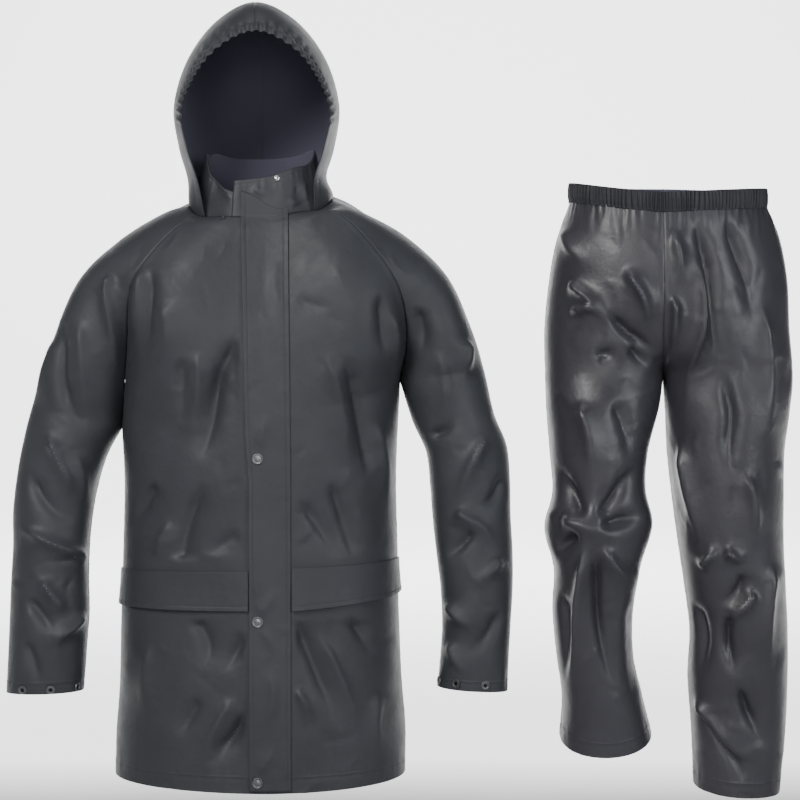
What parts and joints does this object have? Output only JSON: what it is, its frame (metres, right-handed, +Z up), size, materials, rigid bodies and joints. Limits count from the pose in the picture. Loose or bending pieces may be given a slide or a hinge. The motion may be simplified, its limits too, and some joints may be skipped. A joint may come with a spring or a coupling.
{
  "type": "rain suit",
  "caption": "Coated-cloth rain suit shown as worn: hooded jacket with storm flap, pocket flaps and snap cuffs, and trousers with a gathered elastic waist.",
  "frame": {"origin": "middle of the jacket's neck base, where the wearer's shoulders carry it", "axes": "+Z up, the fronts of both garments face -Y, the wearer's right side is at -X; the trousers stand beside the jacket at +X"},
  "size_m": [1.1695, 0.294, 1.1873],
  "materials": {
    "jacket_cloth": "satin coated cloth, slate grey",
    "trouser_cloth": "satin coated cloth, slate grey",
    "snap_metal": "dark satin metal",
    "stud_metal": "bright metal"
  },
  "bodies": {
    "root": {"front_right": "jacket_cloth", "front_left": "jacket_cloth", "back": "jacket_cloth", "sleeve_right": "jacket_cloth", "sleeve_left": "jacket_cloth", "hood_right": "jacket_cloth", "hood_left": "jacket_cloth", "collar": "jacket_cloth", "storm_flap": "jacket_cloth", "pocket_flap_right": "jacket_cloth", "pocket_flap_left": "jacket_cloth", "leg_front_right": "trouser_cloth", "leg_back_right": "trouser_cloth", "leg_front_left": "trouser_cloth", "leg_back_left": "trouser_cloth", "waistband": "trouser_cloth", "flap_snap_1": "snap_metal", "flap_snap_2": "snap_metal", "flap_snap_3": "snap_metal", "cuff_snap_right_1": "snap_metal", "cuff_snap_right_2": "snap_metal", "cuff_snap_right_3": "snap_metal", "cuff_snap_left_1": "snap_metal", "cuff_snap_left_2": "snap_metal", "cuff_snap_left_3": "snap_metal", "collar_stud": "stud_metal", "neck_stud": "stud_metal"}
  },
  "joints": []
}
